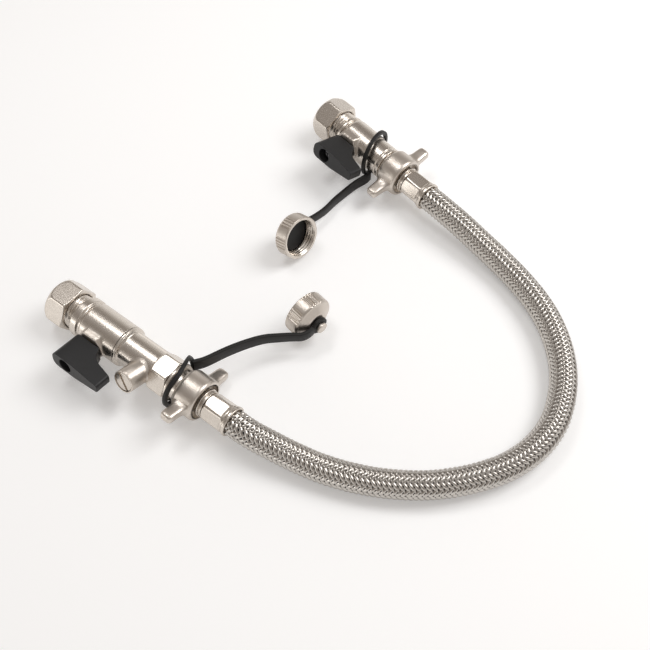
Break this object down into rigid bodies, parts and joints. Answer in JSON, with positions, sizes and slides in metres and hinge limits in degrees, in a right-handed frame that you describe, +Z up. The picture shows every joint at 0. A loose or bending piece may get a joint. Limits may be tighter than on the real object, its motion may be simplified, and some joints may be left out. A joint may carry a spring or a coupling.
{
  "type": "filling loop",
  "caption": "Pair of lever isolating valves for heating pipework, joined by a braided hose with wing nuts; one holds a double check valve and test plug; capped ends on rubber straps.",
  "frame": {"origin": "on the surface that the loop lies on, under the middle of the box round both valves and their caps, without the hose", "axes": "+X along the inlet valve from its pipe end to the hose, +Y from the inlet valve to the outlet valve, +Z up"},
  "size_m": [0.2541, 0.2342, 0.0281],
  "materials": {
    "nickel_plate": "satin nickel plate on brass",
    "brass": "plain brass",
    "ball_chrome": "polished",
    "braid_steel": "woven stainless wire",
    "screw_steel": "zinc plated",
    "lever_black": "black, slight sheen",
    "strap_rubber": "black, smooth moulded",
    "seal_rubber": "black",
    "seat_plastic": "white",
    "check_plastic": "natural white"
  },
  "bodies": {
    "valves": {"inlet_valve_body": "nickel_plate", "inlet_hose_tail": "nickel_plate", "inlet_ferrule": "nickel_plate", "inlet_olive": "brass", "inlet_ball_seat_front": "seat_plastic", "inlet_ball_seat_rear": "seat_plastic", "inlet_hose_washer": "seal_rubber", "outlet_valve_body": "nickel_plate", "outlet_hose_tail": "nickel_plate", "outlet_ferrule": "nickel_plate", "outlet_olive": "brass", "outlet_ball_seat_front": "seat_plastic", "outlet_ball_seat_rear": "seat_plastic", "outlet_hose_washer": "seal_rubber", "check_valve_body": "nickel_plate", "test_plug": "nickel_plate", "test_plug_seal": "seal_rubber", "outlet_ball_retainer": "brass", "hose_braid": "braid_steel", "hose_liner": "seal_rubber", "check_cartridge_1": "check_plastic", "check_spring_1": "screw_steel", "check_cartridge_2": "check_plastic", "check_spring_2": "screw_steel"},
    "inlet_lever": {"inlet_handle": "lever_black", "inlet_handle_screw": "screw_steel", "inlet_stem": "brass", "inlet_stem_seal": "seal_rubber", "inlet_ball": "ball_chrome"},
    "outlet_lever": {"outlet_handle": "lever_black", "outlet_handle_screw": "screw_steel", "outlet_stem": "brass", "outlet_stem_seal": "seal_rubber", "outlet_ball": "ball_chrome"},
    "inlet_nut": {"inlet_compression_nut": "nickel_plate"},
    "inlet_wing": {"inlet_wing_nut": "nickel_plate"},
    "inlet_strap": {"inlet_cap_strap": "strap_rubber"},
    "inlet_blank": {"inlet_cap": "nickel_plate", "inlet_cap_washer": "seal_rubber"},
    "outlet_nut": {"outlet_compression_nut": "nickel_plate"},
    "outlet_wing": {"outlet_wing_nut": "nickel_plate"},
    "outlet_strap": {"outlet_cap_strap": "strap_rubber"},
    "outlet_blank": {"outlet_cap": "nickel_plate", "outlet_cap_washer": "seal_rubber"},
    "poppet_1": {"check_poppet_1": "check_plastic"},
    "poppet_2": {"check_poppet_2": "check_plastic"}
  },
  "joints": [
    {"name": "inlet_handle_turn", "type": "hinge", "parent": "valves", "child": "inlet_lever", "pos_m": [-0.02676, -0.0872, 0.012], "axis": [0, -0.9848, 0.1736], "range_deg": [0, 90]},
    {"name": "outlet_handle_turn", "type": "hinge", "parent": "valves", "child": "outlet_lever", "pos_m": [-0.00073, 0.09999, 0.01355], "axis": [-0.1867, -0.943, 0.2756], "range_deg": [0, 90]},
    {"name": "inlet_compression_nut_spin", "type": "hinge", "parent": "valves", "child": "inlet_nut", "pos_m": [-0.06206, -0.0872, 0.012], "axis": [1, 0, 0], "continuous": true},
    {"name": "outlet_compression_nut_spin", "type": "hinge", "parent": "valves", "child": "outlet_nut", "pos_m": [-0.03006, 0.1058, 0.01355], "axis": [0.981, -0.1942, 0], "continuous": true},
    {"name": "inlet_wing_nut_spin", "type": "hinge", "parent": "valves", "child": "inlet_wing", "pos_m": [-0.06206, -0.0872, 0.012], "axis": [1, 0, 0], "continuous": true},
    {"name": "outlet_wing_nut_spin", "type": "hinge", "parent": "valves", "child": "outlet_wing", "pos_m": [-0.03006, 0.1058, 0.01355], "axis": [0.981, -0.1942, 0], "continuous": true},
    {"name": "inlet_strap_swing", "type": "hinge", "parent": "valves", "child": "inlet_strap", "pos_m": [0.02474, -0.0872, 0.0141], "axis": [1, 0, 0], "range_deg": [0, 60]},
    {"name": "outlet_strap_swing", "type": "hinge", "parent": "valves", "child": "outlet_strap", "pos_m": [0.01977, 0.09593, 0.0141], "axis": [-0.981, 0.1942, 0], "range_deg": [0, 12]},
    {"name": "inlet_cap_spin", "type": "hinge", "parent": "inlet_strap", "child": "inlet_blank", "pos_m": [0.05857, -0.01733, 0.0125], "axis": [0.9863, -0.165, 0], "continuous": true},
    {"name": "outlet_cap_spin", "type": "hinge", "parent": "outlet_strap", "child": "outlet_blank", "pos_m": [0.00479, 0.02188, 0.01114], "axis": [-0.9576, 0.0838, -0.2756], "continuous": true},
    {"name": "check_poppet_1_slide", "type": "slide", "parent": "valves", "child": "poppet_1", "axis": [1, 0, 0], "range_m": [0, 0.0025], "stiffness_N_per_m": 60, "springref_m": -0.002, "deforming": ["check_spring_1"]},
    {"name": "check_poppet_2_slide", "type": "slide", "parent": "valves", "child": "poppet_2", "axis": [1, 0, 0], "range_m": [0, 0.0025], "stiffness_N_per_m": 60, "springref_m": -0.002, "deforming": ["check_spring_2"]}
  ]
}
